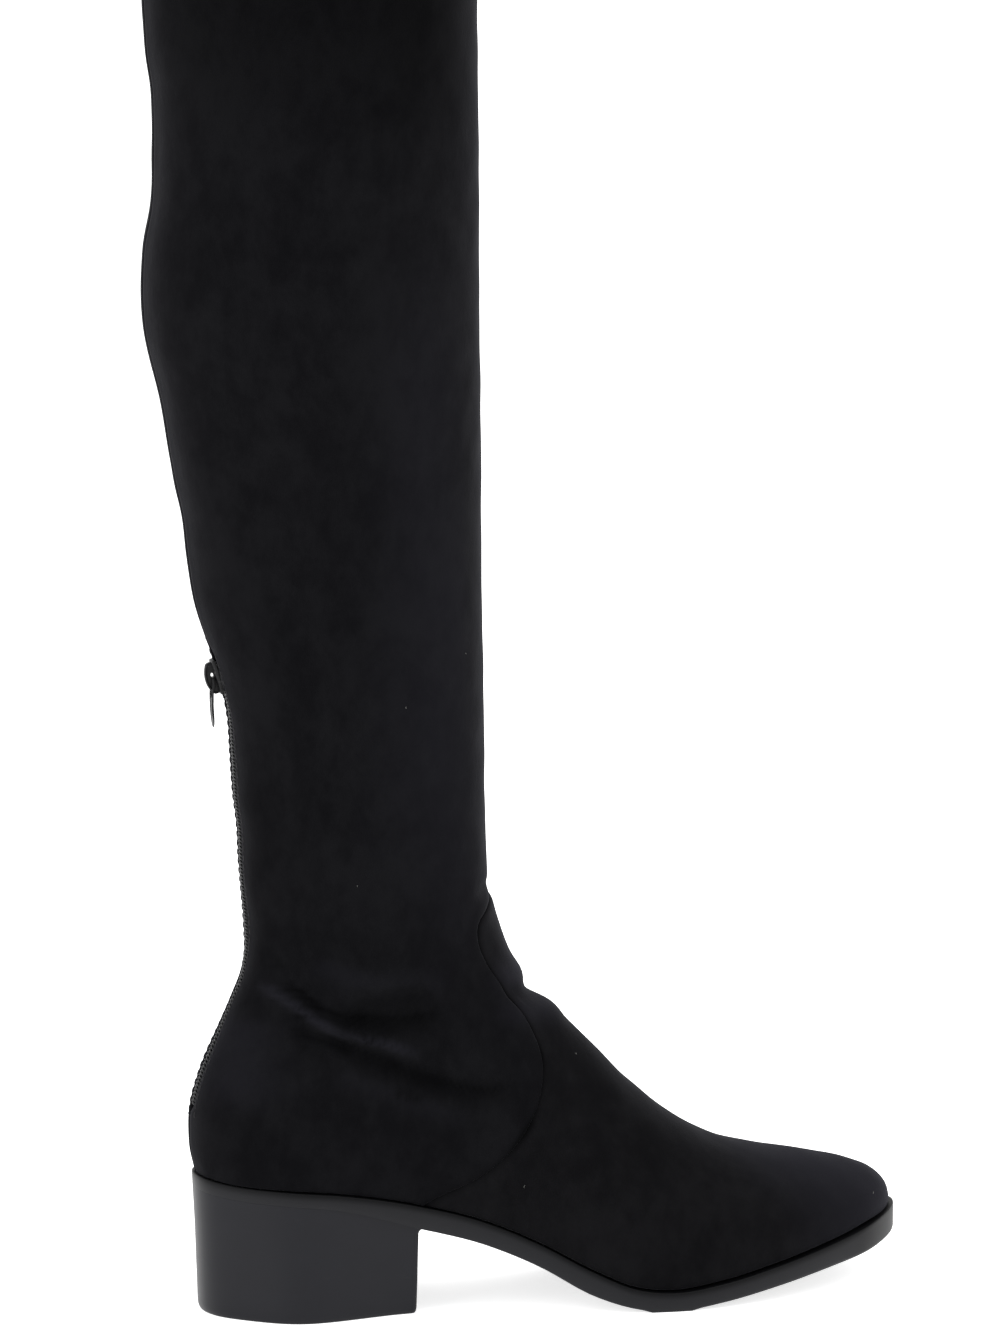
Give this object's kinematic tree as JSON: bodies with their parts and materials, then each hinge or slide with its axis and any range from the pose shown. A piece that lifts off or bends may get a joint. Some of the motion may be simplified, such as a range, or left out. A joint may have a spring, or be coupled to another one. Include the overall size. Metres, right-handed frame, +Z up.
{
  "type": "over-the-knee boot",
  "caption": "Right over-the-knee boot with a stretch sock shaft, separate vamp, short back zip, moulded outsole and a block heel.",
  "frame": {"origin": "on the floor, at the middle of the heel's flat underside", "axes": "+X towards the toe, +Y towards the inner side of the foot, +Z up the shaft"},
  "size_m": [0.282, 0.116, 0.59],
  "materials": {
    "suede": "matt brushed microsuede, black",
    "sole": "satin moulded rubber, charcoal black",
    "heel": "satin painted plastic, charcoal black",
    "sock_lining": "fine black textile",
    "zip_tape": "woven black tape with a nylon coil",
    "zip_metal": "black lacquered zinc"
  },
  "bodies": {
    "boot": {"upper": "suede", "outsole": "sole", "heel_block": "heel", "insole": "sock_lining", "zip_chain": "zip_tape", "zip_slider": "zip_metal"},
    "pull_tab": {"zip_pull_tab": "zip_metal"}
  },
  "joints": [
    {"name": "pull_tab_swing", "type": "hinge", "parent": "boot", "child": "pull_tab", "pos_m": [-0.03025, 0, 0.22575], "axis": [0, 1, 0], "range_deg": [-12, 155]}
  ]
}
